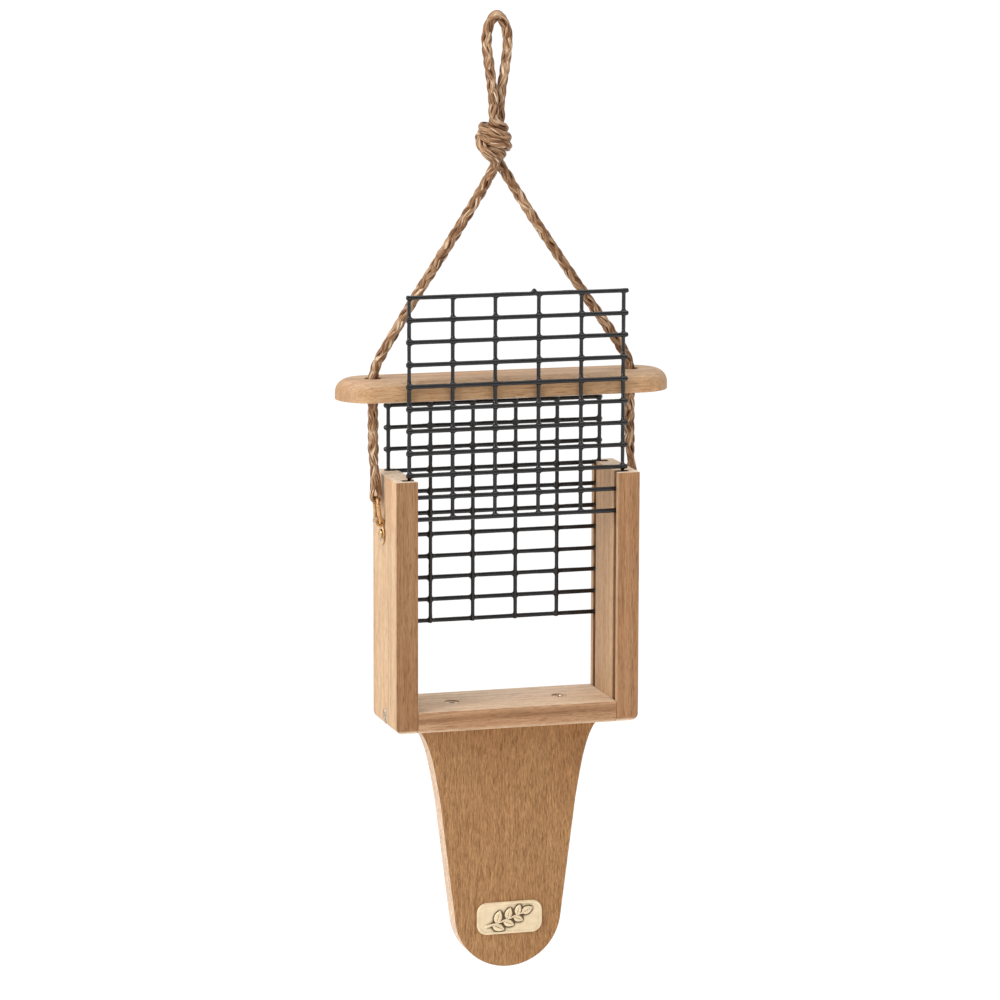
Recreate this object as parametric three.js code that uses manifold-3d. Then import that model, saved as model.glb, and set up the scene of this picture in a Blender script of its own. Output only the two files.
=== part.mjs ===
// Hanging suet feeder for one cake: a grooved wooden frame with a tail prop, two sliding wire grilles,
// and a roof board that rides on a knotted rope. Millimetres, +Z up, +X to the right, front towards -Y.
// The pieces are laid out from the middle of the floor's top face. The whole group is then moved, so its
// origin is the hanging point, inside the top of the rope loop.
import * as THREE from "three";
import { mergeVertices } from "three/addons/utils/BufferGeometryUtils.js";
import Module from "manifold-3d";

const wasm = await Module();
wasm.setup();

const GAP = 0.3; // clearance between touching pieces

// Boards
const BOARD = 12.7; // thickness of the posts, the floor and the tail
const DEPTH = 50.8; // front to back
const INNER_WIDTH = 119; // between the posts
const POST_TOP = 133.5;
const EDGE_ROUND = 5; // rounding along the bottom edges
const GROOVE = { width: 4.8, depth: 7.9, y: 19.05 }; // y is the groove's distance from the middle plane

// Tail prop: a flared top, straight tapering sides and a round tip
const TAIL = { halfTop: 56, waist: 40.6, waistZ: -60, tipRadius: 32, tipZ: -126, taper: 0.126 };
const BADGE = { width: 39.5, height: 19.2, corner: 6.2, thickness: 1.5, x: 0.7, z: -128.8 };

// Grilles: welded mesh with 25.4 x 12.7 cells
const GRILLE = { columns: 5, rows: 10, cellX: 25.4, cellZ: 12.7, flatWire: 2.5, uprightWire: 2.1, stub: 1 };
const FRONT_GRILLE = { x: 0.7, z: 110.8 }; // middle and bottom wire of the raised front grille
const BACK_GRILLE = { x: -1.8, z: 44.1 }; // the same for the back grille

// Roof board, raised on the rope
const ROOF = { length: 196.5, depth: 40, thickness: 11.5, round: 7.5, x: -1.5, z: 178, hole: 9.6 };
const HOLE_HALF_SPAN = 76.6;

// Hangers and rope lie in one plane, a little behind the middle of the frame
const ROPE_Y = 3.5;
const ROPE = 6; // diameter
const STRAP = { width: 10, thickness: 0.9, bottom: 93.5, screwZ: 99.8 };
const BARREL = { z: 106.8, diameter: 5, bore: 2.6, width: 6.8, shoulder: 103.4 };
const RING = { wire: 2, halfWidth: 4.8, height: 14.3, lean: 1.6 };
const HANG = new THREE.Vector3(-5.2, ROPE_Y, 390.8);

// Screws
const FRAME_SCREW = { head: 8.6, headDepth: 3, shank: 3.6, length: 32, z: -6.35 };
const TAIL_SCREW = { head: 8.4, headDepth: 3, shank: 3.6, length: 38, x: 32.3 };
const STRAP_SCREW = { head: 5.4, dome: 1.3, shank: 2.4, length: 10.5 };

const half = (value) => value / 2;
const POST_INNER = half(INNER_WIDTH);
const POST_OUTER = POST_INNER + BOARD;
const BARREL_X = -POST_OUTER - GAP - half(BARREL.diameter); // the left barrel's axis, which its ring turns on

// ---- Solids ----

function toSolid(geometry) {
  const bare = geometry.clone();
  bare.deleteAttribute("normal");
  bare.deleteAttribute("uv");
  const merged = mergeVertices(bare, 1e-4);
  return new wasm.Manifold(
    new wasm.Mesh({
      numProp: 3,
      vertProperties: merged.attributes.position.array,
      triVerts: new Uint32Array(merged.index.array),
    }),
  );
}

function toGeometry(solid) {
  const mesh = solid.getMesh();
  const geometry = new THREE.BufferGeometry();
  geometry.setAttribute("position", new THREE.BufferAttribute(mesh.vertProperties, 3));
  geometry.setIndex(new THREE.BufferAttribute(mesh.triVerts, 1));
  geometry.computeVertexNormals();
  return geometry;
}

function block(x0, x1, y0, y1, z0, z1) {
  const box = new THREE.BoxGeometry(x1 - x0, y1 - y0, z1 - z0);
  return box.translate((x0 + x1) / 2, (y0 + y1) / 2, (z0 + z1) / 2);
}

const flat = (depth, curveSegments) => ({ depth, bevelEnabled: false, curveSegments });

// A shape drawn in (x, z), extruded from y0 to y1.
function prismAlongY(shape, y0, y1, segments = 10) {
  return new THREE.ExtrudeGeometry(shape, flat(y1 - y0, segments)).rotateX(Math.PI / 2).translate(0, y1, 0);
}

// A shape drawn in (y, z), extruded from x0 to x1.
function prismAlongX(shape, x0, x1, segments = 10) {
  const turn = new THREE.Matrix4().set(0, 0, 1, x0, 1, 0, 0, 0, 0, 1, 0, 0, 0, 0, 0, 1);
  return new THREE.ExtrudeGeometry(shape, flat(x1 - x0, segments)).applyMatrix4(turn);
}

// A body turned about Z from (radius, z) points that run from its bottom to its top.
function turned(points, segments = 16) {
  const profile = points.map(([radius, z]) => new THREE.Vector2(radius, z));
  return new THREE.LatheGeometry(profile, segments).rotateX(Math.PI / 2);
}

// A rod of round section along an axis direction, centred on a point.
function rod(diameter, length, axis, centre, sides) {
  const cylinder = new THREE.CylinderGeometry(half(diameter), half(diameter), length, sides);
  if (axis === "x") cylinder.rotateZ(Math.PI / 2);
  if (axis === "z") cylinder.rotateX(Math.PI / 2);
  return cylinder.translate(...centre);
}

// A cord or bent wire through the points, with an elliptic section: wide lies across the path's plane.
function sweep(points, wide, thick, sides, steps) {
  const path = new THREE.CatmullRomCurve3(points, false, "centripetal");
  const section = new THREE.Shape();
  for (let i = 0; i < sides; i++) {
    const angle = (2 * Math.PI * i) / sides;
    const x = half(wide) * Math.cos(angle);
    const y = half(thick) * Math.sin(angle);
    if (i === 0) section.moveTo(x, y);
    else section.lineTo(x, y);
  }
  section.closePath();
  return new THREE.ExtrudeGeometry(section, { steps, extrudePath: path, bevelEnabled: false });
}

const cutAll = (solid, cutters) => cutters.reduce((left, cutter) => left.subtract(toSolid(cutter)), solid);
const joinAll = (geometries) => geometries.map(toSolid).reduce((sum, next) => sum.add(next));

// ---- Screw shapes, head top at z = 0 and point down ----

function countersunkProfile({ head, headDepth, shank, length }, clearance) {
  const r = half(shank) + clearance;
  const rim = half(head) + clearance;
  return [
    [0, -length - clearance],
    [r, -length + 4],
    [r, -headDepth - clearance],
    [rim, -0.5],
    [rim, clearance],
    [0, clearance],
  ];
}

function countersunkScrew(screw, clearance = 0) {
  return turned(countersunkProfile(screw, clearance));
}

// ---- Wooden frame ----

// The rounded bottom edges of the frame, seen from the side: a section in (y, z).
function frameSideSection(bottom, top) {
  const y = half(DEPTH);
  const r = EDGE_ROUND;
  const section = new THREE.Shape();
  section.moveTo(-y, top);
  section.lineTo(-y, bottom + r);
  section.absarc(-y + r, bottom + r, r, Math.PI, 1.5 * Math.PI, false);
  section.lineTo(y - r, bottom);
  section.absarc(y - r, bottom + r, r, 1.5 * Math.PI, 2 * Math.PI, false);
  section.lineTo(y, top);
  section.closePath();
  return section;
}

// A post in (x, z), with its outer bottom edge rounded. side is -1 on the left, 1 on the right.
function postFrontSection(side) {
  const r = EDGE_ROUND;
  const section = new THREE.Shape();
  section.moveTo(side * POST_INNER, POST_TOP);
  section.lineTo(side * POST_OUTER, POST_TOP);
  section.lineTo(side * POST_OUTER, -BOARD + r);
  if (side > 0) section.absarc(POST_OUTER - r, -BOARD + r, r, 0, -half(Math.PI), true);
  else section.absarc(-POST_OUTER + r, -BOARD + r, r, Math.PI, 1.5 * Math.PI, false);
  section.lineTo(side * POST_INNER, -BOARD);
  section.closePath();
  return section;
}

function placedFrameScrew(side, clearance) {
  const screw = countersunkScrew(FRAME_SCREW, clearance).rotateY((side * Math.PI) / 2);
  return screw.translate(side * POST_OUTER, 0, FRAME_SCREW.z);
}

function placedTailScrew(side, clearance) {
  return countersunkScrew(TAIL_SCREW, clearance).translate(side * TAIL_SCREW.x, 0, 0);
}

function groove(side, y) {
  const wall = side * POST_INNER;
  const bottom = side * (POST_INNER + GROOVE.depth);
  const x0 = Math.min(wall - side, bottom);
  const x1 = Math.max(wall - side, bottom);
  return block(x0, x1, y - half(GROOVE.width), y + half(GROOVE.width), -BOARD - 1, POST_TOP + 1);
}

function post(side) {
  const reach = half(DEPTH) + 1;
  const board = toSolid(prismAlongY(postFrontSection(side), -reach, reach));
  const limits = toSolid(prismAlongX(frameSideSection(-BOARD, POST_TOP), -POST_OUTER - 1, POST_OUTER + 1));
  const screwHole = placedFrameScrew(side, GAP);
  const pilotX = side * (POST_OUTER - half(STRAP_SCREW.length));
  const pilotCentre = [pilotX, ROPE_Y, STRAP.screwZ];
  const pilot = rod(STRAP_SCREW.shank + 2 * GAP, STRAP_SCREW.length + 2 * GAP, "x", pilotCentre, 12);
  const grooves = [groove(side, -GROOVE.y), groove(side, GROOVE.y)];
  return toGeometry(cutAll(board.intersect(limits), [...grooves, screwHole, pilot]));
}

function baseBoard() {
  const x = POST_INNER - GAP;
  const board = toSolid(prismAlongX(frameSideSection(-BOARD, 0), -x, x));
  const sides = [-1, 1];
  const holes = sides.map((side) => placedFrameScrew(side, GAP));
  holes.push(...sides.map((side) => placedTailScrew(side, GAP)));
  return toGeometry(cutAll(board, holes));
}

// The tail's outline in (x, z): the flare is a curve, then a straight taper runs into the round tip.
function tailBoard() {
  const { halfTop, waist, waistZ, tipRadius, tipZ, taper } = TAIL;
  const top = -BOARD - GAP;
  const lean = Math.atan(taper);
  const outline = new THREE.Shape();
  outline.moveTo(-halfTop, top);
  outline.bezierCurveTo(-halfTop + 9, top - 4.5, -waist - 3, waistZ + 18, -waist, waistZ);
  outline.absarc(0, tipZ, tipRadius, Math.PI + lean, 2 * Math.PI - lean, false);
  outline.lineTo(waist, waistZ);
  outline.bezierCurveTo(waist + 3, waistZ + 18, halfTop - 9, top - 4.5, halfTop, top);
  outline.closePath();
  const board = toSolid(prismAlongY(outline, -half(BOARD), half(BOARD), 36));
  return toGeometry(cutAll(board, [placedTailScrew(-1, GAP), placedTailScrew(1, GAP)]));
}

function badge() {
  const { width, height, corner, thickness } = BADGE;
  const x = half(width);
  const z = half(height);
  const plate = new THREE.Shape();
  plate.moveTo(-x + corner, -z);
  plate.lineTo(x - corner, -z);
  plate.absarc(x - corner, -z + corner, corner, -half(Math.PI), 0, false);
  plate.lineTo(x, z - corner);
  plate.absarc(x - corner, z - corner, corner, 0, half(Math.PI), false);
  plate.lineTo(-x + corner, z);
  plate.absarc(-x + corner, z - corner, corner, half(Math.PI), Math.PI, false);
  plate.lineTo(-x, -z + corner);
  plate.absarc(-x + corner, -z + corner, corner, Math.PI, 1.5 * Math.PI, false);
  return prismAlongY(plate, -thickness, 0, 4).translate(BADGE.x, -half(BOARD) - GAP, BADGE.z);
}

// ---- Wire grille: level wires outside the uprights. outward is -1 at the front, 1 at the back ----

function grille(outward) {
  const width = GRILLE.columns * GRILLE.cellX;
  const height = GRILLE.rows * GRILLE.cellZ;
  const weld = 0.4; // how far the wires sink into each other
  const spread = half(half(GRILLE.flatWire) + half(GRILLE.uprightWire) - weld);
  const flatLength = width + GRILLE.uprightWire + 2 * GRILLE.stub;
  const sides = 6;
  const wires = [];
  for (let row = 0; row <= GRILLE.rows; row++) {
    const centre = [0, outward * spread, row * GRILLE.cellZ];
    wires.push(rod(GRILLE.flatWire, flatLength, "x", centre, sides));
  }
  for (let column = 0; column <= GRILLE.columns; column++) {
    const centre = [column * GRILLE.cellX - half(width), -outward * spread, half(height)];
    wires.push(rod(GRILLE.uprightWire, height + GRILLE.flatWire, "z", centre, sides));
  }
  return toGeometry(joinAll(wires));
}

// ---- Roof: half-round ends in plan, top edge rounded over ----

// The plan outline drawn in by an inset, as points that run anticlockwise round both ends.
function roofOutline(inset, segments) {
  const radius = half(ROOF.depth) - inset;
  const reach = half(ROOF.length - ROOF.depth);
  const points = [];
  for (const side of [1, -1]) {
    for (let i = 0; i <= segments; i++) {
      const angle = (side > 0 ? -0.5 : 0.5) * Math.PI + (Math.PI * i) / segments;
      points.push([side * reach + radius * Math.cos(angle), radius * Math.sin(angle)]);
    }
  }
  return points;
}

// Rings of points: the bottom face, the upright edge, then the rounded edge up to the flat top.
function roof() {
  const endSegments = 28;
  const roundSegments = 7;
  const levels = [[0, 0]];
  for (let i = 0; i <= roundSegments; i++) {
    const angle = (half(Math.PI) * i) / roundSegments;
    const inset = ROOF.round * (1 - Math.cos(angle));
    levels.push([inset, ROOF.thickness - ROOF.round * (1 - Math.sin(angle))]);
  }
  const rings = levels.map(([inset, z]) => roofOutline(inset, endSegments).map(([x, y]) => [x, y, z]));
  const count = rings[0].length;
  const positions = [...rings.flat(2), 0, 0, 0, 0, 0, ROOF.thickness];
  const bottomMiddle = rings.length * count;
  const topMiddle = bottomMiddle + 1;
  const last = (rings.length - 1) * count;
  const faces = [];
  for (let i = 0; i < count; i++) {
    const next = (i + 1) % count;
    faces.push(bottomMiddle, next, i, topMiddle, last + i, last + next);
    for (let level = 0; level < rings.length - 1; level++) {
      const low = level * count;
      const high = low + count;
      faces.push(low + i, low + next, high + next, low + i, high + next, high + i);
    }
  }
  const shell = new THREE.BufferGeometry();
  shell.setAttribute("position", new THREE.BufferAttribute(new Float32Array(positions), 3));
  shell.setIndex(faces);
  const holes = [-1, 1].map((side) => {
    const centre = [side * HOLE_HALF_SPAN, 0, half(ROOF.thickness)];
    return rod(ROOF.hole, ROOF.thickness + 2, "z", centre, 24);
  });
  return toGeometry(cutAll(toSolid(shell), holes));
}

// ---- Hangers: strap with a rolled barrel, D-ring and screw, drawn for the left post's outer face ----

function strap() {
  const { width, thickness, bottom, screwZ } = STRAP;
  const w = half(width);
  const face = -POST_OUTER - GAP;
  const plate = new THREE.Shape();
  const neck = half(BARREL.width);
  plate.moveTo(neck, BARREL.z);
  plate.lineTo(-neck, BARREL.z);
  plate.lineTo(-neck, BARREL.shoulder);
  plate.lineTo(-w, BARREL.shoulder - (w - neck));
  plate.lineTo(-w, bottom + w);
  plate.absarc(0, bottom + w, w, Math.PI, 2 * Math.PI, false);
  plate.lineTo(w, BARREL.shoulder - (w - neck));
  plate.lineTo(neck, BARREL.shoulder);
  plate.closePath();
  const axis = [BARREL_X, 0, BARREL.z];
  const body = toSolid(prismAlongX(plate, face - thickness, face))
    .add(toSolid(rod(BARREL.diameter, BARREL.width, "y", axis, 12)))
    .subtract(toSolid(rod(BARREL.bore, BARREL.width + 2, "y", axis, 12)))
    .subtract(toSolid(rod(STRAP_SCREW.shank + 2 * GAP, 6, "x", [face, 0, screwZ], 12)));
  return toGeometry(body);
}

// The ring is one bent wire whose ends meet in the barrel. It stands on the barrel's axis, its own origin.
function ring() {
  const { wire, halfWidth, height } = RING;
  const corner = 1.6; // radius of the two lower bends
  const bend = corner * (1 - Math.SQRT1_2); // the middle of a bend lies this far in from both of its sides
  const legTop = height - halfWidth;
  const side = [
    [GAP, 0],
    [halfWidth - corner, 0],
    [halfWidth - bend, bend],
    [halfWidth, corner],
    [halfWidth, half(legTop)],
    [halfWidth, legTop],
  ];
  const arc = [1, 2, 3, 4, 5].map((i) => {
    const angle = (Math.PI * i) / 6;
    return [halfWidth * Math.cos(angle), legTop + halfWidth * Math.sin(angle)];
  });
  const mirrored = side.map(([y, z]) => [-y, z]).reverse();
  const points = [...side, ...arc, ...mirrored].map(([y, z]) => new THREE.Vector3(0, y, z));
  return sweep(points, wire, wire, 8, 44);
}

function strapScrew() {
  const { head, dome, shank, length } = STRAP_SCREW;
  const r = half(head);
  const profile = [
    [0, -length],
    [half(shank), -length + 2],
    [half(shank), 0],
    [r, 0],
    [r, 0.35],
    [r * 0.72, dome * 0.8],
    [0, dome],
  ];
  const outside = POST_OUTER + GAP + STRAP.thickness + GAP;
  return turned(profile, 12).rotateY(-half(Math.PI)).translate(-outside, 0, STRAP.screwZ);
}

// ---- Rope: a leg runs from each eye up through the roof to the knot, and the loop stands on the knot ----

// Route points (x, z) in the hangers' plane, or (x, z, y) where the rope leaves it.
const ropeRoute = (points) => points.map(([x, z, y = ROPE_Y]) => new THREE.Vector3(x, y, z));

const LEFT_LEG = ropeRoute([
  [-77.2, 132], [-77.7, 141], [-78, 152], [-78.1, 165], [-78.1, 178], [-78, 188], [-76.4, 196],
  [-72.2, 204.2], [-64.5, 216.6], [-54, 233.5], [-43, 250.1], [-31.9, 266.9], [-21, 283.7],
  [-11.3, 300.2, 2.4], [-7.3, 309.2, 0.7],
]);

const RIGHT_LEG = ropeRoute([
  [76.3, 132], [75.8, 141], [75.3, 152], [75.1, 165], [75.1, 178], [75, 188], [73.4, 195.5],
  [69.4, 202.8], [61.6, 214], [50.4, 229.4], [37.9, 247.2], [25.5, 265.2], [13.7, 282.7],
  [2.8, 300.4, 4.8], [-1.8, 308.2, 6.2],
]);

const LOOP = [
  [-7.7, 1.3, 337.4], [-7.8, 1.5, 344], [-8.3, 2.2, 352], [-9.4, 3, 362], [-10.9, 3.4, 373],
  [-11.3, 3.5, 381], [-9.6, 3.5, 389], [-5.2, 3.5, 393.8], [-0.8, 3.5, 389], [1, 3.5, 381],
  [0.5, 3.6, 372], [-0.6, 4.2, 362], [-2, 5, 352], [-2.7, 5.6, 344], [-2.8, 5.7, 337.4],
].map((point) => new THREE.Vector3(...point));

// The flattened end of a leg, which passes under the top of the ring: drawn beside the ring's top wire.
const EYE = [
  [-2, 10.1], [-2.6, 5.5], [-2.7, 0.6], [-1.9, -1.9], [0, -2.7],
  [1.9, -1.9], [2.65, 0.6], [2.4, 5], [1.3, 9.6],
];
const EYE_BAND = { width: 5.6, thickness: 2.4 };

function knot() {
  const profile = [
    [0, 310.5], [6.6, 310.5], [8.6, 315], [10.9, 319.5], [11, 325], [9, 329.5],
    [6.9, 332.5], [6.6, 337.1], [0, 337.1],
  ];
  return turned(profile, 12).translate(-5.8, ROPE_Y, 0);
}

// ---- Materials ----

function finish(color, roughness, metalness = 0) {
  return new THREE.MeshStandardMaterial({ color, roughness, metalness });
}

const WOOD = finish(0xc79a6b, 0.7);
const WIRE = finish(0x2b2b2c, 0.42);
const BRASS = finish(0xc9a45c, 0.32, 1);
const ZINC = finish(0xb9b3a6, 0.4, 1);
const CORD = finish(0xaa825f, 0.9);
const CAST = finish(0xc8ad7c, 0.45, 1);

// ---- Assembly ----

const feeder = new THREE.Group();

function place(parent, name, geometry, material) {
  const mesh = new THREE.Mesh(geometry, material);
  mesh.name = name;
  parent.add(mesh);
  return mesh;
}

const frame = new THREE.Group();
place(frame, "left_post", post(-1), WOOD);
place(frame, "right_post", post(1), WOOD);
place(frame, "base_board", baseBoard(), WOOD);
place(frame, "tail_board", tailBoard(), WOOD);
place(frame, "left_frame_screw", placedFrameScrew(-1, 0), ZINC);
place(frame, "right_frame_screw", placedFrameScrew(1, 0), ZINC);
place(frame, "left_tail_screw", placedTailScrew(-1, 0), ZINC);
place(frame, "right_tail_screw", placedTailScrew(1, 0), ZINC);
place(frame, "badge", badge(), CAST);
feeder.add(frame);

const frontGrille = place(feeder, "front_grille", grille(-1), WIRE);
frontGrille.position.set(FRONT_GRILLE.x, -GROOVE.y, FRONT_GRILLE.z);
const backGrille = place(feeder, "back_grille", grille(1), WIRE);
backGrille.position.set(BACK_GRILLE.x, GROOVE.y, BACK_GRILLE.z);
place(feeder, "roof", roof(), WOOD).position.set(ROOF.x, ROPE_Y, ROOF.z);

// Each hanger is drawn on the left and turned about Z for the right.
for (const [name, turn] of [["left", 0], ["right", Math.PI]]) {
  const hanger = new THREE.Group();
  place(hanger, name + "_hanger_strap", strap(), BRASS);
  place(hanger, name + "_hanger_screw", strapScrew(), BRASS);
  const standing = place(hanger, name + "_hanger_ring", ring(), BRASS);
  standing.position.set(BARREL_X, 0, BARREL.z);
  standing.rotation.y = -Math.atan(RING.lean / RING.height);
  const eyePoints = EYE.map(([x, z]) => new THREE.Vector3(x, 0, z));
  const band = sweep(eyePoints, EYE_BAND.width, EYE_BAND.thickness, 8, 20);
  const eye = place(hanger, "rope_" + name + "_eye", band, CORD);
  eye.position.set(BARREL_X - RING.lean, 0, BARREL.z + RING.height);
  hanger.rotation.z = turn;
  hanger.position.y = ROPE_Y;
  feeder.add(hanger);
}

place(feeder, "rope_left_leg", sweep(LEFT_LEG, ROPE, ROPE, 8, 20), CORD);
place(feeder, "rope_right_leg", sweep(RIGHT_LEG, ROPE, ROPE, 8, 20), CORD);
place(feeder, "rope_knot", knot(), CORD);
place(feeder, "rope_loop", sweep(LOOP, ROPE, ROPE, 8, 26), CORD);

feeder.position.copy(HANG).negate();

export default feeder;
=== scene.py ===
import math

import bpy
import numpy as np
from mathutils import Matrix, Vector


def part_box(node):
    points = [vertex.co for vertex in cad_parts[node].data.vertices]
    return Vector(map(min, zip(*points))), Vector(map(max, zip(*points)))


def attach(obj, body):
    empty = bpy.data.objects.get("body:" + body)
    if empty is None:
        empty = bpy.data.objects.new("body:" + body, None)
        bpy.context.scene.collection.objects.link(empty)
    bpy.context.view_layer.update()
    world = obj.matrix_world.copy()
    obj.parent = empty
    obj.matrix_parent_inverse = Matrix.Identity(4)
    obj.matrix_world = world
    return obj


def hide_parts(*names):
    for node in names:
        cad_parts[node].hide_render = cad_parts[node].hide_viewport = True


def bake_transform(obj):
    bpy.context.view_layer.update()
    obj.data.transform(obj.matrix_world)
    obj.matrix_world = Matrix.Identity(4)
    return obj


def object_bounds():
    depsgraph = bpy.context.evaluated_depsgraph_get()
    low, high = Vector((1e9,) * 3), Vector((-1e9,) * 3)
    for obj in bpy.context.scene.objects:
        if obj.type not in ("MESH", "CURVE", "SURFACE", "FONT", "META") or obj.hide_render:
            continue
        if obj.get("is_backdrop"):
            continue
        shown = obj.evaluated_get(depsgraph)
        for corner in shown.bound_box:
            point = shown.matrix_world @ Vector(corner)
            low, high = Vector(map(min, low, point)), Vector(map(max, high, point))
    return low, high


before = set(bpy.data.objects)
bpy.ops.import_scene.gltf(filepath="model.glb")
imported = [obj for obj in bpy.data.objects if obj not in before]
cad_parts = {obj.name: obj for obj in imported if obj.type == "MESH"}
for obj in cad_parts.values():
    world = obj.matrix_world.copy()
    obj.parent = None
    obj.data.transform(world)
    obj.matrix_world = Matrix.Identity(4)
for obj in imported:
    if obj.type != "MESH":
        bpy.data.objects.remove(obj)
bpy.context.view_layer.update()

MM = 0.001

floor_low, floor_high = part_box("base_board")
ORIGIN = Vector(((floor_low.x + floor_high.x) / 2, (floor_low.y + floor_high.y) / 2, floor_high.z))


def at(x, y, z):
    return ORIGIN + Vector((x, y, z)) * MM


def span(node):
    """A node's lowest and highest corner, in millimetres from the floor board's top."""
    return [(corner - ORIGIN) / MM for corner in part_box(node)]


# ---- Camera ----

CAMERA = {"place": (-768.1, -2580.5, 583.8), "aim": (3.5, 24.3, 112.1), "roll_deg": 0.165, "lens": 171.4}


def make_camera():
    data = bpy.data.cameras.new("camera")
    data.lens = CAMERA["lens"]
    data.clip_end = 100
    camera = bpy.data.objects.new("camera", data)
    bpy.context.scene.collection.objects.link(camera)
    place = at(*CAMERA["place"])
    turn = (at(*CAMERA["aim"]) - place).to_track_quat("-Z", "Y").to_matrix().to_4x4()
    camera.matrix_world = Matrix.Translation(place) @ turn @ Matrix.Rotation(math.radians(CAMERA["roll_deg"]), 4, "Z")
    bpy.context.scene.camera = camera


make_camera()

# ---- Node materials ----


class Shader:
    """A material's node tree, with short calls for the nodes used here."""

    def __init__(self, name, **sockets):
        self.material = bpy.data.materials.new(name)
        self.material.use_nodes = True
        self.tree = self.material.node_tree
        self.surface = self.tree.nodes["Principled BSDF"]
        for socket, value in sockets.items():
            self.surface.inputs[socket.replace("_", " ")].default_value = value

    def put(self, socket, value):
        if isinstance(value, bpy.types.NodeSocket):
            self.tree.links.new(value, socket)
        else:
            socket.default_value = value

    def add(self, kind, inputs, **settings):
        node = self.tree.nodes.new("ShaderNode" + kind)
        for key, value in settings.items():
            setattr(node, key, value)
        for key, value in inputs.items():
            self.put(node.inputs[key], value)
        return node

    def coordinates(self, output="Object"):
        return self.add("TexCoord", {}).outputs[output]

    def attribute(self, name, output="Fac"):
        return self.add("Attribute", {}, attribute_name=name).outputs[output]

    def scaled(self, vector, scale, location=(0, 0, 0)):
        return self.add("Mapping", {"Vector": vector, "Scale": scale, "Location": location}).outputs[0]

    def noise(self, vector, scale=1.0, detail=2.0, roughness=0.5, distortion=0.0):
        inputs = {"Vector": vector, "Scale": scale, "Detail": detail, "Roughness": roughness, "Distortion": distortion}
        return self.add("TexNoise", inputs).outputs[0]

    def ramp(self, factor, stops):
        node = self.add("ValToRGB", {0: factor})
        elements = node.color_ramp.elements
        while len(elements) < len(stops):
            elements.new(0.5)
        for element, (place, colour) in zip(elements, stops):
            element.position = place
            element.color = (*colour, 1)
        return node.outputs[0]

    def math(self, operation, a, b=0.0):
        return self.add("Math", {0: a, 1: b}, operation=operation).outputs[0]

    def mix(self, factor, a, b, blend="MIX"):
        a, b = [(*x, 1) if isinstance(x, tuple) else x for x in (a, b)]
        return self.add("Mix", {0: factor, 6: a, 7: b}, data_type="RGBA", blend_type=blend).outputs[2]

    def range(self, value, low, high, to_low=0.0, to_high=1.0):
        inputs = {0: value, 1: low, 2: high, 3: to_low, 4: to_high}
        return self.add("MapRange", inputs).outputs[0]

    def colour(self, value):
        self.put(self.surface.inputs["Base Color"], value)

    def roughness(self, value):
        self.put(self.surface.inputs["Roughness"], value)

    def bump(self, height, distance, strength=1.0):
        node = self.add("Bump", {"Height": height, "Distance": distance, "Strength": strength})
        self.put(self.surface.inputs["Normal"], node.outputs[0])


# The posts' grooves, in metres: how far each is from the board's middle, and where the painted shade and the
# scorching on the walls fade in at the groove's mouth and out at its floor and its sides.
GROOVE = {"offset": 0.01905, "mouth": (0.0004, 0.0022), "floor": (0.0095, 0.0085), "sides": (0.0029, 0.0025)}


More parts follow.
